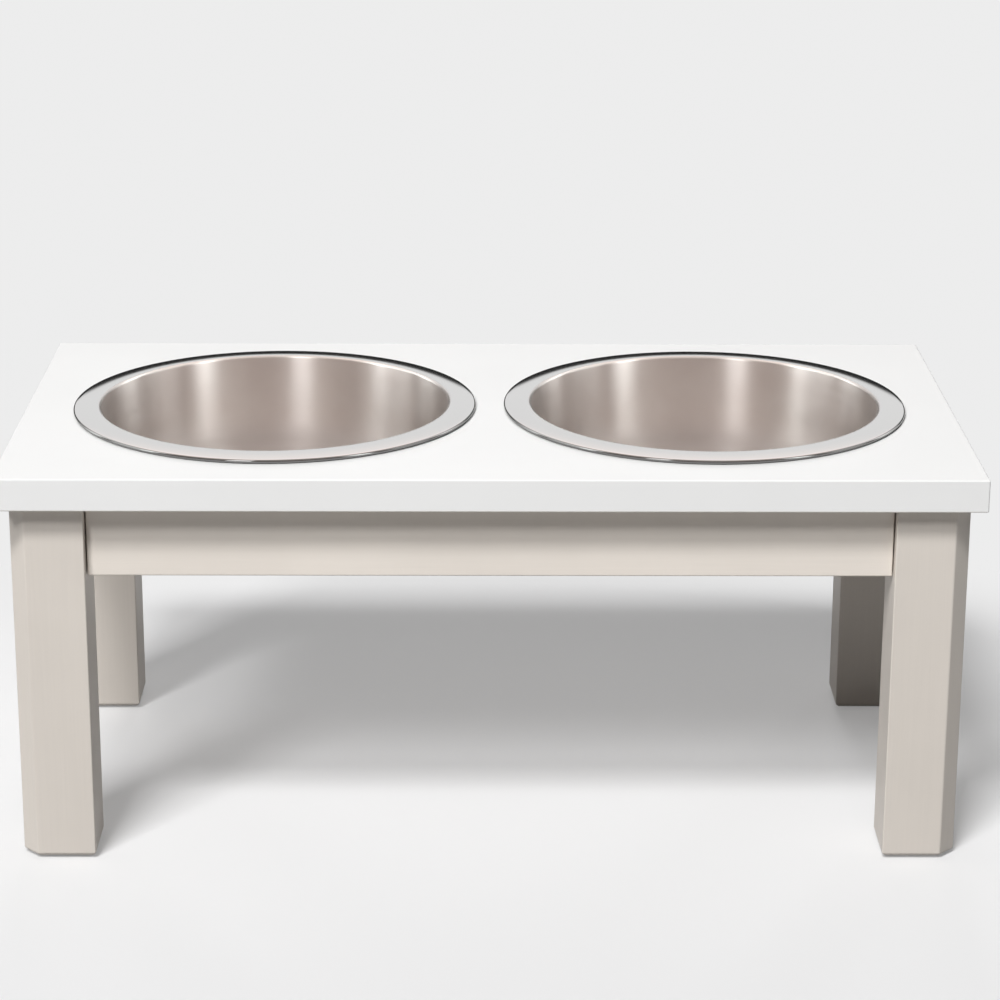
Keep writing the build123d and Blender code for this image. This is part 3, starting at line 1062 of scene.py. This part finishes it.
def hangLamps():
    # The lamps light what is matt; metal mirrors the painted room and one tall pale panel
    aim, size = Vector(studio["aim"]), studio["lampSize"]
    for name, (bearing, height, watts) in studio["lamps"].items():
        side, up = radians(bearing), radians(height)
        away = Vector((cos(up) * sin(side), -cos(up) * cos(side), sin(up)))
        holder = hangLamp(name, aim + away * studio["lampDistance"], size, size, watts, aim)
        holder.visible_glossy = False
    panel = studio["mirrored"]
    x, y, z = panel["place"]
    holder = hangLamp("panel", (x, y, z), *panel["size"], panel["watts"], (0.0, 0.0, z))
    holder.visible_diffuse = False
    print("lamps hung")


room = {
    "front": (0.37, 0.32, 0.3),
    "strips": (  # degrees to the right of the camera side, half the width, brightness
        (-121, 10, 3.0),
        (-90, 11, 2.0),
        (-73, 5, 4.1),
        (48, 4, 1.3),
        (54, 5, 4.1),
        (86, 13, 1.1),
        (122, 12, 3.0),
    ),
    "stripEdge": 5,
    "stripColour": (0.98, 1.0, 0.99),
    "backFrom": (115, 140),
    "sweep": (0.85, 0.85, 0.85),
    "sweepTop": (1.0, 0.95, 0.93),
    "sweepTopFrom": (0.32, 0.5),
    "dark": (0.02, 0.02, 0.02),
    "darkFrom": (135, 140),
    "darkBelow": (0.195, 0.225),
    "ceiling": (1.45, 1.3, 1.24),
    "ceilingFrom": (0.6, 0.8),
    "zenith": (0.8, 0.77, 0.75),
    "zenithFrom": (0.93, 0.975),
}


def band(value, middle, half, edge):
    # 1 within half of the middle, falling to 0 over the edge
    return 1 - (value - middle).size().rise(half - edge / 2, half + edge / 2)


def paintRoom():
    # Rays from the camera see the plain backdrop, mirrored rays see a room, and no light comes from either
    world = bpy.data.worlds.new("studioWorld")
    scene.world = world
    world.use_nodes = True
    tree = world.node_tree
    wire = Wire(tree)
    x, y, z = wire.node("ShaderNodeTexCoord", output="Generated").axes()
    bearing = x.maths("ARCTAN2", x, y * -1.0) * (180 / pi)  # degrees, to the right of the camera
    brightest = max(bright for _, _, bright in room["strips"])
    strips = [
        band(bearing, middle, half, room["stripEdge"]) * (bright / brightest)
        for middle, half, bright in room["strips"]
    ]
    light = sum(strips[1:], strips[0])
    front = light.tint(room["front"], tuple(part * brightest for part in room["stripColour"]))
    sweep = z.rise(*room["sweepTopFrom"]).tint(room["sweep"], room["sweepTop"])
    behind = bearing.size()
    dark = (1 - z.rise(*room["darkBelow"])) * behind.rise(*room["darkFrom"])
    seen = behind.rise(*room["backFrom"]).tint(front, dark.tint(sweep, room["dark"]))
    seen = z.rise(*room["ceilingFrom"]).tint(seen, room["ceiling"])
    seen = z.rise(*room["zenithFrom"]).tint(seen, room["zenith"])
    seen = lightPath(wire, "Glossy", "Transmission").tint((0, 0, 0), seen)
    seen = lightPath(wire, "Camera").tint(seen, studio["backdrop"])
    tree.links.new(seen.socket, tree.nodes["Background"].inputs["Color"])
    print("room painted")


def paintFloor():
    # Near the feeder the floor is lit paper that glows a little; far away it is the plain pale backdrop
    finish = newFinish("floorPaper", {"Roughness": studio["floorRoughness"]}, lambda wire: {})
    tree = finish.node_tree
    wire = Wire(tree)
    seen = lightPath(wire, "Camera", "Glossy", "Transmission")
    place = objectPlace(wire)
    x, y, _ = place.axes()
    fibre = place.noise(studio["floorFibre"])
    fibreColour = tuple(part * studio["fibreTone"] for part in studio["floorColour"])
    paper = fibre.tint(fibreColour, studio["floorColour"])
    shader = tree.nodes["Principled BSDF"]
    tree.links.new(seen.tint(studio["floorBounce"], paper).socket, shader.inputs["Base Color"])
    away = (x * x + (y - studio["floorFadeFrom"]) ** 2.0) ** 0.5
    glow = wire.node("ShaderNodeEmission", None, {"Color": studio["backdrop"]})
    paleness = away.rise(*studio["floorFade"]).most(studio["floorGlow"])
    sockets = {0: paleness * seen, 1: Wire(tree, shader.outputs[0]), 2: glow}
    mixed = wire.node("ShaderNodeMixShader", None, sockets)
    tree.links.new(mixed.socket, tree.nodes["Material Output"].inputs["Surface"])
    return finish


def layFloor():
    form = bmesh.new()
    bmesh.ops.create_grid(form, x_segments=1, y_segments=1, size=studio["floorSize"] / 2)
    mesh = bpy.data.meshes.new("floor")
    form.to_mesh(mesh)
    form.free()
    mesh.materials.append(paintFloor())
    link("floor", mesh)
    print("floor laid")


camera = {
    "place": (-0.00909, -1.74392, 0.73232),
    "lens": 107.734,
    "sensor": 36.0,
    "clip": (0.05, 50.0),
    "pitch": radians(17.677),
    "yaw": radians(-0.513),
    "roll": radians(-0.239),
}


def placeCamera():
    view = bpy.data.cameras.new("photoView")
    view.sensor_fit = "HORIZONTAL"
    view.sensor_width = camera["sensor"]
    view.lens = camera["lens"]
    view.clip_start, view.clip_end = camera["clip"]
    holder = link("photoView", view)
    turn = Matrix.Rotation(camera["yaw"], 4, "Z") @ Matrix.Rotation(-camera["pitch"], 4, "X")
    turn = turn @ Matrix.Rotation(camera["roll"], 4, "Y") @ Matrix.Rotation(pi / 2, 4, "X")
    holder.matrix_world = Matrix.Translation(camera["place"]) @ turn
    scene.camera = holder
    print("camera placed")


placeCamera()
hangLamps()
paintRoom()
layFloor()
buildBowls()
buildTabletop()
buildLegs()
buildRails()
buildFasteners()
finishHiddenNodes()
